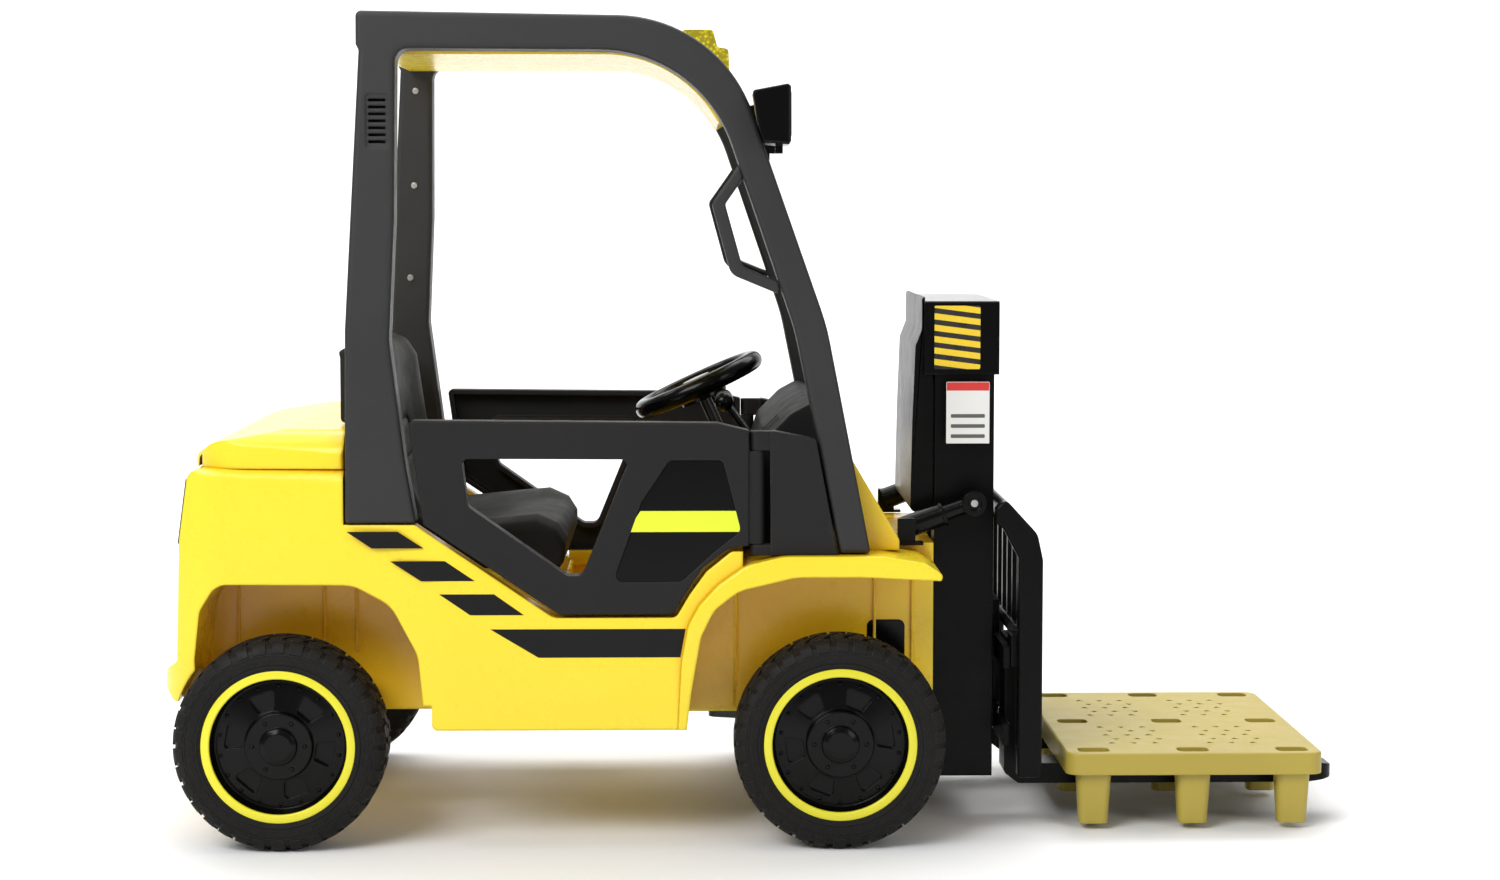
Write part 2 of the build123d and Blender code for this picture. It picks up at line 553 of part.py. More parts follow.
side_plate = side_prism([(252, 60, 6), (252, 352, 4), (262, 362, 6), (297, 324, 20), (303, 296, 20), (303, 60, 6)],
                        -197, -179)
side_plate -= side_prism([(250, 56, 0), (250, 352, 0), (262, 330, 0), (277, 296, 12), (277, 56, 0)], -192, -170)
backrest = join(both(side_plate))
backrest += side_prism([(264, 349, 2), (270, 354, 3), (297, 324, 12), (300, 300, 6), (292, 300, 2), (280, 322, 6)],
                       -180, 180)
for bar in range(7):
    y = -150 + bar * 50
    backrest += block(286, 296, y - 5, y + 5, 200, 304)
backrest += block(284, 298, -180, 180, 196, 212)
backrest += block(270.2, 286, -180, -150, 178, 212) + block(270.2, 286, 150, 180, 178, 212)
parts["load_backrest"] = backrest

fork_bottom_z = fork_top_z - fork_thick
fork = side_prism([(270.2, 203, 3), (284, 203, 3), (284, fork_top_z, 8), (fork_tip_x - 20, fork_top_z, 30),
                   (fork_tip_x, fork_top_z - 4, 4), (fork_tip_x, fork_bottom_z + 4, 4),
                   (fork_tip_x - 30, fork_bottom_z, 60), (286, fork_bottom_z, 0), (270.2, fork_bottom_z + 12, 6)],
                  -fork_y - fork_width / 2, -fork_y + fork_width / 2)
plan_tip = top_prism([(260, -125, 0), (fork_tip_x, -125, 20), (fork_tip_x, -75, 20), (260, -75, 0)], 0, 300)
pair("fork", fork & plan_tip)

# ---------------------------------------------------------------- pallet
pallet_x0, pallet_x1 = pallet_back_x, pallet_back_x + pallet_length
skirt_z = pallet_top_z - pallet_skirt
half_width = pallet_width / 2
pallet_plan = [(pallet_x0, -half_width, 16), (pallet_x0, half_width, 16), (pallet_x1, half_width, 16),
               (pallet_x1, -half_width, 16)]
pallet = top_prism(pallet_plan, fork_top_z + free_gap / 2, pallet_top_z)
pallet = fillet(pallet.edges().group_by(Axis.Z)[-1], 3)
pallet -= top_prism([(x + (4 if x == pallet_x0 else -4), y - 4 * (1 if y > 0 else -1), 12)
                     for x, y, _ in pallet_plan], 50, pallet_top_z - 5)
leg_columns = [pallet_x0 + 31, (pallet_x0 + pallet_x1) / 2, pallet_x1 - 31]
leg_rows = [-173.0, 0.0, 173.0]
for rib_x in leg_columns:
    pallet += block(rib_x - 2, rib_x + 2, -half_width + 3, half_width - 3, fork_top_z + free_gap / 2, pallet_top_z - 4)
for rib_y in leg_rows[1:2] + [-125.0, -75.0, 75.0, 125.0]:
    pallet += block(pallet_x0 + 3, pallet_x1 - 3, rib_y - 2, rib_y + 2, fork_top_z + free_gap / 2, pallet_top_z - 4)
for leg_x in leg_columns:
    for leg_y in leg_rows:
        leg_top = Pos(leg_x, leg_y, pallet_top_z - 2) * RectangleRounded(40, 30, 9)
        leg_foot = Pos(leg_x, leg_y, pallet_leg_foot_z) * RectangleRounded(31, 22, 7)
        pallet += loft([leg_foot, leg_top])
        slot_top = Pos(leg_x, leg_y, pallet_top_z + 1) * RectangleRounded(34, 24, 7)
        slot_foot = Pos(leg_x, leg_y, pallet_leg_foot_z + 4) * RectangleRounded(26, 17, 5)
        pallet -= loft([slot_foot, slot_top])
hole = extrude(Triangle(a=9, b=9, c=9), 12)
for quadrant_x in (leg_columns[0] + leg_columns[1], leg_columns[1] + leg_columns[2]):
    for quadrant_y in (-86.5, 86.5):
        for row in range(5):
            for column in range(3):
                spot = Pos(quadrant_x / 2 + (column - 1) * 24 + (row % 2) * 8 - 4, quadrant_y + (row - 2) * 24, 78)
                pallet -= spot * (Rot(0, 0, 60 * (row + column)) * hole)
parts["pallet"] = pallet

# ---------------------------------------------------------------- fasteners
screw_spots = [(-400, 812), (-403, 700), (-409, 590), (-403, 460), (-300, 857), (-180, 856), (-60, 820),
               (40, 600), (76, 480)]
inner_y = -guard_base_y + guard_depth
screws = [leaning(across(x, z, inner_y, inner_y + 2, 3.6)) for x, z in screw_spots]
screws += [tube((rear_axle_x, -106, wheel_radius), (rear_axle_x, -102, wheel_radius), 9, axle_radius)]
screws += [across(*strut_eye, -165, -163, 4), across(600, 51, -127, -125, 4)]
parts["screws"] = Compound(children=screws + [mirrored(screw) for screw in screws])

os.makedirs("parts", exist_ok=True)
for name, shape in parts.items():
    export_step(shape, f"parts/{name}.step")
print(len(parts), "nodes")
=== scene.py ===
"""Looks for the ride-on forklift: materials, trim pieces, stage, lights and camera.

Outlines and piece sizes are millimetres, turned into metres by MM. Materials, lights and camera are metres.
"""
import json
from math import cos, pi, radians, sin, tan
import bmesh
import bpy
from mathutils import Matrix, Vector


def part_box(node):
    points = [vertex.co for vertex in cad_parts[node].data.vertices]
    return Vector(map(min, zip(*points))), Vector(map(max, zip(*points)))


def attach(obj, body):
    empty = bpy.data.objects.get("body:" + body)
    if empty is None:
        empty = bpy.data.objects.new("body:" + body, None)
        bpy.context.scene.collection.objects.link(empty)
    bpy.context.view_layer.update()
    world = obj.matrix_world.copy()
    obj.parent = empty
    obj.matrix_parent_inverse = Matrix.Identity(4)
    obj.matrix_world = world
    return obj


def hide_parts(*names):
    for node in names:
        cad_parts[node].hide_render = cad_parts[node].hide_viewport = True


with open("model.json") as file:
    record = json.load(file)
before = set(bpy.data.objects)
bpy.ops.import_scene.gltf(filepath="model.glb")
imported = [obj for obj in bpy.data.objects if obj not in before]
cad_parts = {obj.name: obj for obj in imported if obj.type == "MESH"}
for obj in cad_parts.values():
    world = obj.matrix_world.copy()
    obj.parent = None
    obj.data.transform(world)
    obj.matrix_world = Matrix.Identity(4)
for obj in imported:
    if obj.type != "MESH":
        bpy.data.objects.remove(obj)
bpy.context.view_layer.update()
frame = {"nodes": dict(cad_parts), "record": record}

MM = 0.001
SIDES = {"right": -1, "left": 1}

# ------------------------------------------------------------------ places read from the frame
nodes = frame["nodes"]
wheel_boxes = {name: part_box("tyre_" + name) for name in ("rear_right", "rear_left", "front_right",
                                                         "front_left")}
half_track = 0.242              # from the centre plane to the middle of each wheel, in metres


# ------------------------------------------------------------------ material helpers
class Graph:
    """A node material with a few shorthands."""

    def __init__(self, name):
        self.material = bpy.data.materials.new(name)
        self.material.use_nodes = True
        self.tree = self.material.node_tree
        self.shader = self.tree.nodes["Principled BSDF"]
        self.place = self.tree.nodes.new("ShaderNodeTexCoord").outputs["Object"]

    def link(self, source, target):
        self.tree.links.new(source, target)

    def noise(self, scale, detail=4.0, rough=0.55, stretch=None):
        node = self.tree.nodes.new("ShaderNodeTexNoise")
        node.inputs["Scale"].default_value = scale
        node.inputs["Detail"].default_value = detail
        node.inputs["Roughness"].default_value = rough
        place = self.place
        if stretch:
            mapping = self.tree.nodes.new("ShaderNodeMapping")
            mapping.inputs["Scale"].default_value = stretch
            self.link(place, mapping.inputs["Vector"])
            place = mapping.outputs["Vector"]
        self.link(place, node.inputs["Vector"])
        return node.outputs["Fac"]

    def spread(self, value, low, high, start=0.3, end=0.7):
        """Map a factor between two numbers."""
        node = self.tree.nodes.new("ShaderNodeMapRange")
        for socket, number in (("From Min", start), ("From Max", end), ("To Min", low), ("To Max", high)):
            node.inputs[socket].default_value = number
        self.link(value, node.inputs["Value"])
        return node.outputs["Result"]

    def mix(self, factor, first, second):
        """Mix two colours; each is a colour or a socket."""
        node = self.tree.nodes.new("ShaderNodeMix")
        node.data_type = "RGBA"
        self.link(factor, node.inputs["Factor"])
        for socket, value in (("A", first), ("B", second)):
            target = [s for s in node.inputs if s.name == socket and s.type == "RGBA"][0]
            if isinstance(value, bpy.types.NodeSocket):
                self.link(value, target)
            else:
                target.default_value = (*value, 1.0)
        return [s for s in node.outputs if s.type == "RGBA"][0]

    def math(self, operation, first, second=None):
        node = self.tree.nodes.new("ShaderNodeMath")
        node.operation = operation
        for i, value in enumerate((first, second)):
            if isinstance(value, bpy.types.NodeSocket):
                self.link(value, node.inputs[i])
            elif value is not None:
                node.inputs[i].default_value = value
        return node.outputs[0]

    def rounded_edges(self, radius):
        """Rounded normal for sharp edges, and a mask that is 1 on them."""
        bevel = self.tree.nodes.new("ShaderNodeBevel")
        bevel.samples = 6
        bevel.inputs["Radius"].default_value = radius
        normal = self.tree.nodes.new("ShaderNodeNewGeometry").outputs["Normal"]
        dot = self.tree.nodes.new("ShaderNodeVectorMath")
        dot.operation = "DOT_PRODUCT"
        self.link(bevel.outputs["Normal"], dot.inputs[0])
        self.link(normal, dot.inputs[1])
        mask = self.spread(dot.outputs["Value"], 1.0, 0.0, 0.86, 0.995)
        return bevel.outputs["Normal"], mask

    def bump(self, heights, normal=None):
        """Chain bumps (height socket, strength, distance) on top of a normal."""
        for height, strength, distance in heights:
            node = self.tree.nodes.new("ShaderNodeBump")
            node.inputs["Strength"].default_value = strength
            node.inputs["Distance"].default_value = distance
            self.link(height, node.inputs["Height"])
            if normal is not None:
                self.link(normal, node.inputs["Normal"])
            normal = node.outputs["Normal"]
        self.link(normal, self.shader.inputs["Normal"])


def plastic(name, color, rough, deep=None, grain=0.0, grain_size=1100.0, edge=0.0025, edge_highlight=0.25,
            specular=0.5, coat=0.0, waviness=0.03, painted_shade=None):
    """Moulded plastic: colour drift, uneven gloss, mould grain, softly rounded edges painted paler as a
    patchy highlight, painted shade in occluded creases when a shade colour is given, and faint scuffs.
    """
    graph = Graph(name)
    deep = deep or tuple(channel * 0.86 for channel in color)
    drift = graph.noise(5.0, 2.0)
    base = graph.mix(graph.spread(drift, 0.0, 1.0), color, deep)
    # Painted shade: where the occlusion node finds nearby surfaces, in creases and recesses, the colour is
    # mixed towards the shade colour.
    if painted_shade:
        occlusion = graph.tree.nodes.new("ShaderNodeAmbientOcclusion")
        occlusion.samples = 8
        occlusion.inputs["Distance"].default_value = 0.16
        base = graph.mix(graph.spread(occlusion.outputs["AO"], 0.0, 1.0, 0.15, 0.85), painted_shade, base)
    normal, mask = graph.rounded_edges(edge)
    # Painted highlight: the colour is painted paler along the rounded edges, in patches.
    edge_highlight_color = tuple(min(1.0, channel * 1.25 + 0.03) for channel in color)
    patchy_edge_highlight = graph.math("MULTIPLY", mask, graph.spread(graph.noise(38.0, 5.0), 0.1, 1.0))
    base = graph.mix(graph.math("MULTIPLY", patchy_edge_highlight, edge_highlight), base, edge_highlight_color)
    graph.link(base, graph.shader.inputs["Base Color"])
    scuffs = graph.noise(34.0, 7.0, 0.68)
    gloss = graph.spread(scuffs, rough * 0.88, min(1.0, rough * 1.18))
    graph.link(gloss, graph.shader.inputs["Roughness"])
    graph.shader.inputs["Specular IOR Level"].default_value = specular
    graph.shader.inputs["Coat Weight"].default_value = coat
    graph.shader.inputs["Coat Roughness"].default_value = 0.12
    heights = [(graph.noise(4.5, 1.0), waviness, 0.01)]
    if grain:
        heights.append((graph.noise(grain_size, 2.0, 0.6), grain, 0.0006))
    graph.bump(heights, normal)
    return graph.material


def metal(name, color, rough, brushed=(1.0, 1.0, 14.0), painted=False):
    """Plated or painted steel with directional scratches, and edges painted lighter as a highlight."""
    graph = Graph(name)
    drift = graph.noise(22.0, 5.0)
    dark = tuple(channel * 0.72 for channel in color)
    base = graph.mix(graph.spread(drift, 0.0, 1.0), color, dark)
    normal, mask = graph.rounded_edges(0.0012)
    # Painted highlight: the edges are painted lighter, grey on painted steel and brighter on plated steel.
    edge_highlight_tone = (0.5, 0.5, 0.5) if painted else tuple(min(1.0, channel * 1.3) for channel in color)
    base = graph.mix(graph.math("MULTIPLY", mask, 0.35), base, edge_highlight_tone)
    graph.link(base, graph.shader.inputs["Base Color"])
    graph.shader.inputs["Metallic"].default_value = 0.0 if painted else 1.0
    scratches = graph.noise(160.0, 6.0, 0.7, stretch=brushed)
    graph.link(graph.spread(scratches, rough * 0.7, rough * 1.35), graph.shader.inputs["Roughness"])
    graph.bump([(scratches, 0.12, 0.0005)], normal)
    return graph.material


def tyre_material():
    graph = Graph("tyre rubber")
    color = (0.0070, 0.0066, 0.0062)
    dust = graph.spread(graph.noise(15.0, 7.0, 0.65), 0.0, 0.5)
    base = graph.mix(dust, color, (0.015, 0.014, 0.013))
    normal, mask = graph.rounded_edges(0.0012)
    # Painted highlight: the rubber is painted lighter grey along the rounded edges.
    base = graph.mix(graph.math("MULTIPLY", mask, 0.35), base, (0.055, 0.052, 0.050))
    graph.link(base, graph.shader.inputs["Base Color"])
    graph.link(graph.spread(graph.noise(60.0, 5.0), 0.50, 0.72), graph.shader.inputs["Roughness"])
    graph.shader.inputs["Specular IOR Level"].default_value = 0.18
    graph.bump([(graph.noise(700.0, 3.0), 0.25, 0.0006)], normal)
    return graph.material


def lamp_material(name, color):
    """Coloured lens with moulded prisms below a glossy coat, drawn opaque."""
    graph = Graph(name)
    prisms = graph.tree.nodes.new("ShaderNodeTexVoronoi")
    prisms.inputs["Scale"].default_value = 260.0
    graph.link(graph.place, prisms.inputs["Vector"])
    facet = graph.spread(prisms.outputs["Distance"], 0.0, 1.0, 0.0, 0.6)
    base = graph.mix(facet, color, tuple(channel * 0.35 for channel in color))
    graph.link(base, graph.shader.inputs["Base Color"])
    graph.link(graph.spread(graph.noise(40.0), 0.08, 0.2), graph.shader.inputs["Roughness"])
    graph.shader.inputs["Coat Weight"].default_value = 0.6
    graph.bump([(facet, 0.15, 0.0008)])
    return graph.material


def hazard_material():
    """Yellow and black diagonal stripes printed on film."""
    graph = Graph("hazard stripes")
    lean, stripe_pitch, black_share = 0.13, 12.4 * MM, 0.46
    split = graph.tree.nodes.new("ShaderNodeSeparateXYZ")
    graph.link(graph.place, split.inputs["Vector"])
    along = graph.math("ADD", split.outputs["Z"], graph.math("MULTIPLY", split.outputs["X"], lean))
    wave = graph.math("FRACT", graph.math("MULTIPLY", along, 1 / stripe_pitch))
    stripe = graph.math("GREATER_THAN", wave, black_share)
    worn = graph.spread(graph.noise(90.0, 6.0, 0.7), 0.0, 0.25)
    yellow = graph.mix(worn, (0.86, 0.60, 0.03), (0.62, 0.40, 0.03))
    black = graph.mix(worn, (0.012, 0.012, 0.012), (0.05, 0.045, 0.04))
    base = graph.mix(stripe, black, yellow)
    graph.link(base, graph.shader.inputs["Base Color"])
    graph.link(graph.spread(worn, 0.22, 0.4, 0.0, 0.25), graph.shader.inputs["Roughness"])
    graph.bump([(graph.noise(30.0, 2.0), 0.04, 0.002)])
    return graph.material


yellow = (0.86, 0.675, 0.018)
materials = {
    # The body yellow turns orange in occluded creases and recesses: painted shade.
    "body_yellow": plastic("body yellow", yellow, 0.28, deep=(0.85, 0.65, 0.015), edge=0.005, edge_highlight=0.4,
                           coat=0.12, grain=0.02, grain_size=900, painted_shade=(0.82, 0.44, 0.010)),
    "guard_charcoal": plastic("guard charcoal", (0.0235, 0.0235, 0.0245), 0.46, grain=0.30, grain_size=1500,
                              edge=0.004, edge_highlight=0.30, specular=0.34),
    "black_gloss": plastic("gloss black", (0.0022, 0.0021, 0.0021), 0.17, edge=0.0018, edge_highlight=0.1,
                           waviness=0.02, specular=0.16),
    "mast_black": plastic("mast satin black", (0.0022, 0.0020, 0.0020), 0.30, grain=0.06, edge=0.002,
                          edge_highlight=0.12, specular=0.12),
    "frame_steel": metal("painted steel", (0.006, 0.006, 0.006), 0.4, painted=True),
    "bright_steel": metal("zinc steel", (0.62, 0.62, 0.60), 0.32),
    "tyre_black": tyre_material(),
    "seat_charcoal": plastic("seat charcoal", (0.014, 0.014, 0.0125), 0.58, grain=0.4, grain_size=700,
                             edge=0.005,
                             specular=0.18),
    "beacon_amber": lamp_material("beacon yellow", (0.86, 0.74, 0.020)),
    "lamp_dark": lamp_material("smoked lamp", (0.010, 0.004, 0.004)),
    "lens_red": lamp_material("red lens", (0.16, 0.02, 0.02)),
    "pallet_mustard": plastic("pallet mustard", (0.43, 0.34, 0.048), 0.46, deep=(0.39, 0.30, 0.043),
                              grain=0.2,
                              grain_size=1000, edge=0.002, edge_highlight=0.35),
    "motor_grey": plastic("motor grey", (0.05, 0.05, 0.053), 0.45, grain=0.2),
}
dash_charcoal = plastic("dash charcoal", (0.011, 0.011, 0.011), 0.62, grain=0.30, grain_size=1300, edge=0.003,
                        edge_highlight=0.25, specular=0.16)
door_charcoal = plastic("door charcoal", (0.0125, 0.0120, 0.0122), 0.50, grain=0.30, grain_size=1500,
                        edge=0.003,
                        edge_highlight=0.35, specular=0.22)
neon = plastic("neon stripe", (0.80, 0.98, 0.030), 0.35, edge=0.0008)
ring_yellow = plastic("ring yellow", (0.80, 0.74, 0.030), 0.3, edge=0.0012)
decal_black = plastic("decal black", (0.0065, 0.0063, 0.0066), 0.34, edge=0.0006, edge_highlight=0.05,
                      specular=0.2)
label_white = plastic("label white", (0.78, 0.78, 0.76), 0.35, edge=0.0006)
label_red = plastic("label red", (0.62, 0.035, 0.03), 0.35, edge=0.0006)
label_grey = plastic("label grey", (0.10, 0.10, 0.10), 0.4, edge=0.0006)
hazard = hazard_material()

for part in frame["record"]["subparts"]:
    target = nodes[part["node"]]
    target.data.materials.clear()
    target.data.materials.append(materials[part["material_slot"]])
for name in ("door_right", "door_left", "side_panel_right", "side_panel_left"):
    nodes[name].data.materials[0] = door_charcoal
nodes["dashboard"].data.materials[0] = dash_charcoal
nodes["steering_shaft"].data.materials[0] = materials["frame_steel"]


# ------------------------------------------------------------------ mesh helpers
def piece(name, mesh_builder, material, body, bevel=0.0, segments=2):
    """Make an object from a bmesh and let it ride on a CAD body."""
    mesh = bpy.data.meshes.new(name)
    bmesh.ops.recalc_face_normals(mesh_builder, faces=mesh_builder.faces[:])
    mesh_builder.to_mesh(mesh)
    mesh_builder.free()
    made = bpy.data.objects.new(name, mesh)
    bpy.context.scene.collection.objects.link(made)
    mesh.materials.append(material)
    if bevel:
        modifier = made.modifiers.new("edges", "BEVEL")
        modifier.width = bevel
        modifier.segments = segments
        modifier.limit_method = "ANGLE"
        modifier.angle_limit = radians(35)
    for polygon in mesh.polygons:
        polygon.use_smooth = True
    mesh.set_sharp_from_angle(angle=radians(32))
    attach(made, body)
    return made


def rounded(corners, steps=5):
    """Corner list (a, b, radius) in millimetres to a smooth outline in metres."""
    outline = []
    for i, (a, b, radius) in enumerate(corners):
        here = Vector((a, b))
        if not radius:
            outline.append(here * MM)
            continue
        back = (Vector(corners[i - 1][:2]) - here).normalized()
        ahead = (Vector(corners[(i + 1) % len(corners)][:2]) - here).normalized()
        half = back.angle(ahead) / 2
        centre = here + (back + ahead).normalized() * (radius / sin(half))
        start = here + back * (radius / tan(half)) - centre
        end = here + ahead * (radius / tan(half)) - centre
        turn = start.angle_signed(end)
        for step in range(steps + 1):
            outline.append((centre + Matrix.Rotation(-turn * step / steps, 2) @ start) * MM)
    return outline


def prism(outline, y0, y1):
    """Solid from an (x, z) outline between two y planes, in metres."""
    shape = bmesh.new()
    near = [shape.verts.new((p[0], y0, p[1])) for p in outline]
    far = [shape.verts.new((p[0], y1, p[1])) for p in outline]
    shape.faces.new(near)
    shape.faces.new(far[::-1])
    for i in range(len(outline)):
        j = (i + 1) % len(outline)
        shape.faces.new((near[i], far[i], far[j], near[j]))
    return shape


def bridge(shape, sections, closed=False):
    """Faces between closed sections, each to the next, and the last to the first when closed."""
    pairs = list(zip(sections, sections[1:]))
    if closed:
        pairs.append((sections[-1], sections[0]))
    for here, after in pairs:
        for i in range(len(here)):
            j = (i + 1) % len(here)
            shape.faces.new((here[i], here[j], after[j], after[i]))


def on_wheel(centre, side, r, out, angle):
    """Place at a radius, a distance out from the wheel's middle (both mm) and an angle about its axis."""
    return (centre.x + r * MM * cos(angle), centre.y + side * out * MM, centre.z + r * MM * sin(angle))


def lathe(profile, centre, side, count=96):
    """Ring about the wheel axis: profile points (radius, distance out from the wheel's middle), in mm."""
    shape = bmesh.new()
    rings = []
    for step in range(count):
        angle = 2 * pi * step / count
        rings.append([shape.verts.new(on_wheel(centre, side, r, out, angle)) for r, out in profile])
    bridge(shape, rings, closed=True)
    return shape


def add_lug(shape, centre, side, profile, start, end, steps=3, skew=0.0):
    """Raised block on a tyre: a closed (radius, out) profile swept over an angle range."""
    sections = []
    for step in range(steps + 1):
        share = step / steps
        section = []
        for r, out in profile:
            angle = start + (end - start) * share + skew * out
            section.append(shape.verts.new(on_wheel(centre, side, r, out, angle)))
        sections.append(section)
    shape.faces.new(sections[0])
    shape.faces.new(sections[-1][::-1])
    bridge(shape, sections)


def add_block(shape, centre, size):
    """Box about a centre, both in millimetres."""
    spot = Matrix.Translation([value * MM for value in centre])
    bmesh.ops.create_cube(shape, size=1.0,
                          matrix=spot @ Matrix.Diagonal([value * MM for value in size] + [1.0]))


# ------------------------------------------------------------------ wheels
carcass = [(80, -35), (84, -36.5), (92, -37.6), (98, -37.2), (104, -34.5), (107.5, -29), (108.6, -22),
           (108.6, 22), (107.5, 29), (104, 34.5), (98, 37.2), (92, 37.6), (84, 36.5), (80, 35)]
centre_lug = [(106, -9), (111.6, -8.4), (111.6, 8.4), (106, 9)]
middle_lug = [(106, 12.5), (111.6, 12.5), (111.4, 22.5), (106, 23)]
shoulder_lug = [(104, 26), (110.9, 26), (109.6, 31), (106, 35.4), (99.5, 37.9), (99.0, 35.5), (103, 32)]


def mirrored_profile(profile):
    return [(r, -out) for r, out in profile[::-1]]


def wheel(place, side_name):
    side = SIDES[side_name]
    low, high = wheel_boxes[f"{place}_{side_name}"]
    centre = (low + high) / 2
    centre.y = side * half_track
    body = f"wheel_{place}_{side_name}"
    tyre = lathe(carcass, centre, side)
    blocks = 34
    pitch = 2 * pi / blocks
    for i in range(blocks):
        start = i * pitch
        add_lug(tyre, centre, side, centre_lug, start, start + pitch * 0.72, skew=0.006)
        for profile, shift in ((middle_lug, 0.35), (shoulder_lug, 0.1)):
            width = 0.70 if i % 2 else 0.60
            add_lug(tyre, centre, side, profile, start + shift * pitch, start + (shift + width) * pitch)
            add_lug(tyre, centre, side, mirrored_profile(profile), start + shift * pitch,
                    start + (shift + width) * pitch)
    made = piece(f"tyre_{place}_{side_name}_tread", tyre, materials["tyre_black"], body)
    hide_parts(f"tyre_{place}_{side_name}")

    ribs = bmesh.new()
    for first, last in ((84.4, 85.6), (97.0, 98.0)):
        band = [(first, 36.4), (first, 37.9), (last, 37.9), (last, 36.4)]
        add_lug(ribs, centre, side, band, 0, 2 * pi, steps=96)
    waves, steps, middle, reach, flat = 40, 8, 91.2, 3.4, 0.8
    loops = []
    for i in range(waves * steps):
        share = i / (waves * steps)
        swing = sin(2 * pi * waves * share)
        r = middle + reach * max(-flat, min(flat, swing))
        section = ((r - 0.7, 37.2), (r - 0.5, 38.0), (r + 0.5, 38.0), (r + 0.7, 37.2))
        loops.append([ribs.verts.new(on_wheel(centre, side, at, out, 2 * pi * share)) for at, out in section])
    bridge(ribs, loops, closed=True)
    piece(f"sidewall_pattern_{place}_{side_name}", ribs, materials["tyre_black"], body)

    ring = lathe([(71.4, 33.2), (71.6, 35.4), (72.6, 36.3), (79.2, 36.6), (80.3, 36.0), (80.3, 33.0)],
                 centre, side)
    piece(f"trim_ring_{place}_{side_name}", ring, ring_yellow, body)

    studs = bmesh.new()
    for count, shift, r, out, radius in ((18, 0.5, 62.7, 21.4, 2.3), (6, 0.0, 27.5, 31.4, 2.6)):
        for i in range(count):
            spot = Matrix.Translation(on_wheel(centre, side, r, out, 2 * pi * (i + shift) / count))
            bmesh.ops.create_uvsphere(studs, u_segments=10, v_segments=6, radius=radius * MM, matrix=spot)
    piece(f"rim_studs_{place}_{side_name}", studs, materials["black_gloss"], body)


for place in ("rear", "front"):
    for side_name in SIDES:
        wheel(place, side_name)


# ------------------------------------------------------------------ door inserts and body decals
door_face, body_face = 261.6, 262.0
insert = [(-97, 410, 6), (-41, 410, 6), (-22, 336, 8), (-50, 314, 14), (-84, 283, 10), (-156, 282, 8),
          (-126, 366, 12)]
stripe = [(-127, 357, 1.5), (-27, 357, 1.5), (-22, 335, 1.5), (-141, 335, 1.5)]
body_stripes = [
    [(-433, 336, 0), (-380, 336, 0), (-353, 318.5, 0), (-407, 318.5, 0)],
    [(-388, 305, 0), (-331, 305, 0), (-300, 284, 0), (-356, 284, 0)],
    [(-337, 270, 0), (-280, 270, 0), (-249, 248, 0), (-305, 248, 0)],
    [(-284, 233, 0), (-80, 233, 0), (-85.5, 203, 0), (-234, 203, 4)],
]


def slab(name, corners, side, near, far, material, body, bevel=0.0):
    """Flat piece on one side, between two distances from the centre plane (mm)."""
    shape = prism(rounded(corners), side * near * MM, side * far * MM)
    return piece(f"{name}_{'right' if side < 0 else 'left'}", shape, material, body, bevel=bevel)


for side_name, side in SIDES.items():
    door_body = "side_door_" + side_name
    slab("door_insert", insert, side, door_face - 1.5, door_face, materials["black_gloss"], door_body,
         0.0004)
    slab("door_stripe", stripe, side, door_face - 0.05, door_face + 0.25, neon, door_body)
    for i, corners in enumerate(body_stripes):
        slab(f"body_stripe_{i}", corners, side, body_face - 0.1, body_face + 0.25, decal_black, "chassis")

# ------------------------------------------------------------------ wheel-well mouldings, and painted shade for an opening
for side_name, side in SIDES.items():
    ribs = bmesh.new()
    for x, spine, low_z, high_z in ((-566, 130, 190, 278), (-473, 130, 190, 278), (-438, 130, 190, 278),
                                    (125, 150, 190, 288), (166, 150, 160, 288)):
        add_block(ribs, (x, side * (spine + 1.2), (low_z + high_z) / 2), (3.2, 3.4, high_z - low_z))
    piece(f"well_ribs_{side_name}", ribs, materials["body_yellow"], "chassis", bevel=0.0012)
    # Black film on the wheel-well wall: the dark of an opening there, drawn as painted shade.
    opening_shadow = [(117, 140, 4), (117, 226, 7), (158, 226, 7), (158, 140, 4)]
    slab("well_opening_shade", opening_shadow, side, 149.5, 150.6, materials["black_gloss"], "chassis")

for side in SIDES.values():
    wall = [(-89, 130, 0), (-26, 130, 0), (-26, 302, 0), (-40, 296, 0), (-66, 262, 0), (-80, 232, 0),
            (-87, 190, 0)]
    slab("footwell_wall", wall, side, 147, 150.2, materials["body_yellow"], "chassis")


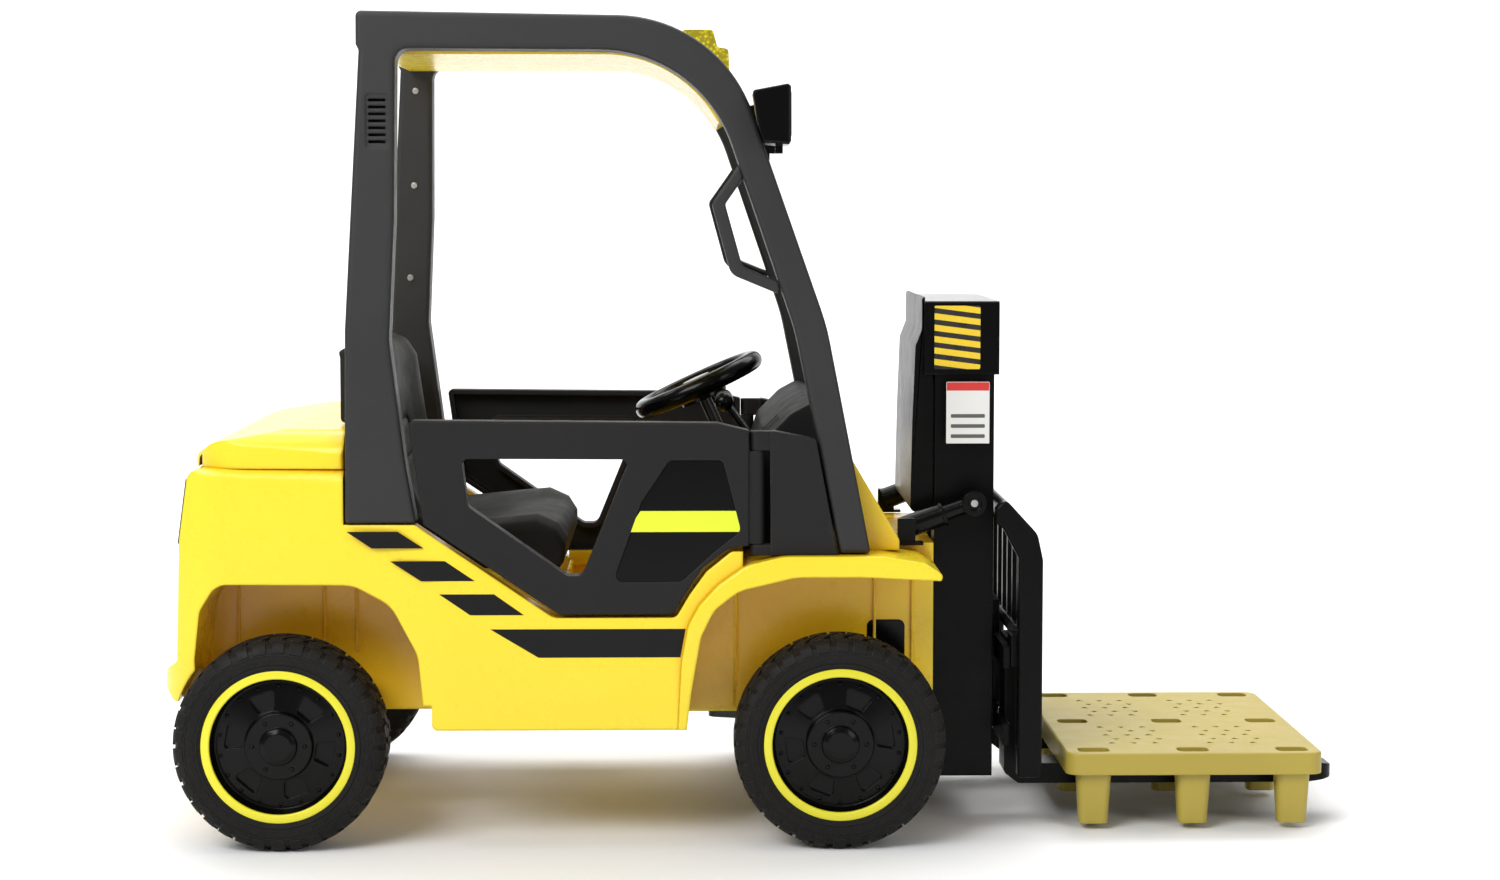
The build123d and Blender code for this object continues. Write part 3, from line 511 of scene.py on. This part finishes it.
# ------------------------------------------------------------------ tail lamp lenses
def tail_lens(side):
    """Dark lens wrapped round the rear corner of the body, wide behind and a wedge at the side."""
    corner = Vector((-566.0, 176.0))        # middle of the lens's curve seen from above
    corner_radius = 70.4
    rows, columns = 8, 14
    front_x, low_z, high_z = -581.0, 321.0, 389.0
    shape = bmesh.new()
    grid = []
    for i in range(columns + 1):
        share = i / columns
        row = []
        for j in range(rows + 1):
            up = j / rows
            rear_x = -612.4 + 12.0 * (low_z + up * (high_z - low_z) - 324) / 76
            if share < 0.5:
                edge_y = corner.y + (corner_radius ** 2 - (rear_x - corner.x) ** 2) ** 0.5
                place = Vector((rear_x, 200 + (edge_y - 200) * share / 0.5))
                bottom, top = low_z - 2, high_z
            else:
                along = (share - 0.5) / 0.5
                x = rear_x + (front_x - rear_x) * along
                place = Vector((x, corner.y + (corner_radius ** 2 - (x - corner.x) ** 2) ** 0.5))
                bottom, top = low_z + (383 - low_z) * along, high_z - 5 * along
            row.append(shape.verts.new((place.x * MM, side * place.y * MM,
                                        (bottom + up * (top - bottom)) * MM)))
        grid.append(row)
    for here, after in zip(grid, grid[1:]):
        for j in range(rows):
            shape.faces.new((here[j], after[j], after[j + 1], here[j + 1]))
    return shape


for side_name, side in SIDES.items():
    lens = piece(f"tail_lens_{side_name}", tail_lens(side), materials["black_gloss"], "chassis")
    thick = lens.modifiers.new("thickness", "SOLIDIFY")
    thick.thickness = 0.0012
    thick.offset = -side

# ------------------------------------------------------------------ mast labels
mast_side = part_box("mast_top_cap")[1].y / MM
rail_side = -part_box("mast_rail_right")[0].y / MM
sunk, film, raised = 0.1, 0.3, 0.42
for side in SIDES.values():
    panel = [(191, 497, 1.5), (241, 497, 1.5), (241, 566, 1.5), (191, 566, 1.5)]
    slab("hazard_panel", panel, side, mast_side - sunk, mast_side + film, hazard, "chassis")
    card = [(203, 417, 1), (250, 417, 1), (250, 484, 1), (203, 484, 1)]
    slab("mast_card", card, side, rail_side - sunk, rail_side + film, label_white, "chassis")
    header = [(203.5, 474.5, 0), (249.5, 474.5, 0), (249.5, 483.5, 0), (203.5, 483.5, 0)]
    slab("mast_card_header", header, side, rail_side, rail_side + raised, label_red, "chassis")
    for row, bar_z in enumerate((423, 434, 445)):
        bar = [(208, bar_z, 1), (245, bar_z, 1), (245, bar_z + 4, 1), (208, bar_z + 4, 1)]
        slab(f"mast_card_bar_{row}", bar, side, rail_side, rail_side + raised, label_grey, "chassis")

# ------------------------------------------------------------------ mast back cover
cover_outline = [(166, 340, 6), (168, 440, 0), (171, 522, 10), (178, 540, 8), (178, 575, 3), (181, 575, 1),
                 (191.6, 480, 0), (191.6, 340, 2)]
cover = prism(rounded(cover_outline), -118 * MM, 118 * MM)
cover_piece = piece("mast_back_cover_shell", cover, materials["mast_black"], "chassis",
                    bevel=0.003,
                    segments=3)
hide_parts("mast_back_cover")

# ------------------------------------------------------------------ load backrest
plate = [(252, 352, 3), (262, 362, 6), (297, 324, 20), (303, 296, 20), (303, 60, 6), (277, 60, 3), (277,
                                                                                                    298, 10),
         (260, 330, 6), (252, 336, 2)]
for side in SIDES.values():
    slab("backrest_side", plate, side, 179, 197, materials["mast_black"], "lift", bevel=0.002)
    foot = [(270.4, 178, 2), (286, 178, 2), (286, 212, 2), (270.4, 212, 2)]
    slab("backrest_foot", foot, side, 150, 180, materials["mast_black"], "lift", bevel=0.001)
top_sheet = [(262, 349, 2), (268, 356, 3), (296, 325, 12), (300, 300, 6), (292, 300, 2), (280, 322, 6)]
frame_bars = prism(rounded(top_sheet), -180 * MM, 180 * MM)
add_block(frame_bars, (291, 0, 204), (14, 360, 16))
for bar in range(7):
    add_block(frame_bars, (291, -150 + 50 * bar, 255.5), (10, 10, 101))
bars_piece = piece("backrest_bars", frame_bars, materials["mast_black"], "lift", bevel=0.0015)
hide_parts("load_backrest")

# ------------------------------------------------------------------ seat
def seat_shell():
    """Moulded bucket seat: side bolsters, a hollowed cushion and back, and a rolled front lip."""
    path = [(-216, 288), (-208, 300), (-208, 316), (-218, 332), (-240, 342), (-285, 338), (-335, 333),
            (-362, 342), (-376, 372), (-386, 430), (-396, 500), (-408, 519), (-428, 527), (-446, 520)]
    shape = bmesh.new()
    rows = []
    columns, half_width = 24, 163
    across = [-half_width + 2 * half_width * j / columns for j in range(columns + 1)]
    for i, (x, z) in enumerate(path):
        share = i / (len(path) - 1)
        hollow = sin(pi * min(1.0, max(0.0, (share - 0.22) / 0.66))) ** 0.7
        inward = Vector((-0.25, -1.0)) if share < 0.5 else Vector((-1.0, -0.1))
        row = []
        for y in across:
            edge = abs(y) / half_width
            dip = 17.0 * hollow * (1 - min(1.0, (edge / 0.78) ** 6)) if edge < 0.78 else 0.0
            fall = 9.0 * max(0.0, (edge - 0.9) / 0.1) ** 2
            at = Vector((x, z)) + inward.normalized() * (dip + fall)
            row.append(shape.verts.new((at.x * MM, y * MM, at.y * MM)))
        rows.append(row)
    back = [(-450, 510), (-450, 442), (-402, 441), (-395, 400), (-395, 288)]
    for x, z in back:
        rows.append([shape.verts.new((x * MM, y * MM, z * MM)) for y in across])
    for i, here in enumerate(rows):
        after = rows[(i + 1) % len(rows)]
        for j in range(columns):
            shape.faces.new((here[j], after[j], after[j + 1], here[j + 1]))
    for j in (0, columns):
        shape.faces.new([row[j] for row in rows])
    return shape


seat_piece = piece("seat_shell", seat_shell(), materials["seat_charcoal"], "chassis",
                   bevel=0.005,
                   segments=3)
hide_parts("seat")

# ------------------------------------------------------------------ stage, lights and camera
def area_light(name, place, aim, width, height, power):
    light = bpy.data.lights.new(name, "AREA")
    light.shape = "RECTANGLE"
    light.size = width
    light.size_y = height
    light.energy = power
    made = bpy.data.objects.new(name, light)
    made.location = place
    made.rotation_euler = (Vector(aim) - Vector(place)).to_track_quat("-Z", "Y").to_euler()
    bpy.context.scene.collection.objects.link(made)


def studio_floor():
    """White floor that curves up into a backdrop far behind the forklift."""
    graph = Graph("studio floor")
    tint = graph.mix(graph.spread(graph.noise(1.5), 0.0, 1.0), (0.90, 0.90, 0.90), (0.88, 0.88, 0.885))
    graph.link(tint, graph.shader.inputs["Base Color"])
    graph.shader.inputs["Roughness"].default_value = 0.7
    graph.shader.inputs["Specular IOR Level"].default_value = 0.1
    bend_start, bend = 3.6, 2.2
    profile = [(-12.0, 0.0), (bend_start, 0.0)]
    profile += [(bend_start + bend * sin(radians(a)), bend - bend * cos(radians(a))) for a in range(5, 91, 5)]
    profile.append((bend_start + bend, 8.0))
    shape = bmesh.new()
    rows = [[shape.verts.new((x, y, z)) for x in (-12.0, 12.0)] for y, z in profile]
    for near, far in zip(rows, rows[1:]):
        shape.faces.new((near[0], near[1], far[1], far[0]))
    mesh = bpy.data.meshes.new("studio_floor")
    shape.to_mesh(mesh)
    shape.free()
    for polygon in mesh.polygons:
        polygon.use_smooth = True
    mesh.materials.append(graph.material)
    floor = bpy.data.objects.new("studio_floor", mesh)
    bpy.context.scene.collection.objects.link(floor)


studio_floor()
world = bpy.data.worlds.new("studio")
bpy.context.scene.world = world
world.use_nodes = True
background = world.node_tree.nodes["Background"]
background.inputs["Color"].default_value = (1.0, 1.0, 1.0, 1.0)
background.inputs["Strength"].default_value = 0.30

area_light("key", (-1.9, -2.6, 2.6), (-0.1, 0.0, 0.35), 2.2, 1.6, 104)
area_light("fill", (2.4, -3.0, 1.6), (0.2, 0.0, 0.4), 1.6, 1.6, 24)
area_light("top", (-0.2, 0.2, 3.4), (0.0, 0.0, 0.3), 2.8, 2.0, 40)
area_light("backdrop", (0.0, 2.6, 4.2), (0.0, 3.6, 0.0), 9.0, 3.0, 340)

bpy.context.scene.view_settings.view_transform = "Standard"

camera_down, camera_right = radians(4.72086), radians(1.25228)
camera_data = bpy.data.cameras.new("camera")
camera_data.sensor_width = 36.0
camera_data.lens = 69.168
camera = bpy.data.objects.new("camera", camera_data)
camera.location = (-0.078, -3.253, 0.6783)
camera.rotation_euler = (pi / 2 - camera_down, 0.0, -camera_right)
bpy.context.scene.collection.objects.link(camera)
bpy.context.scene.camera = camera
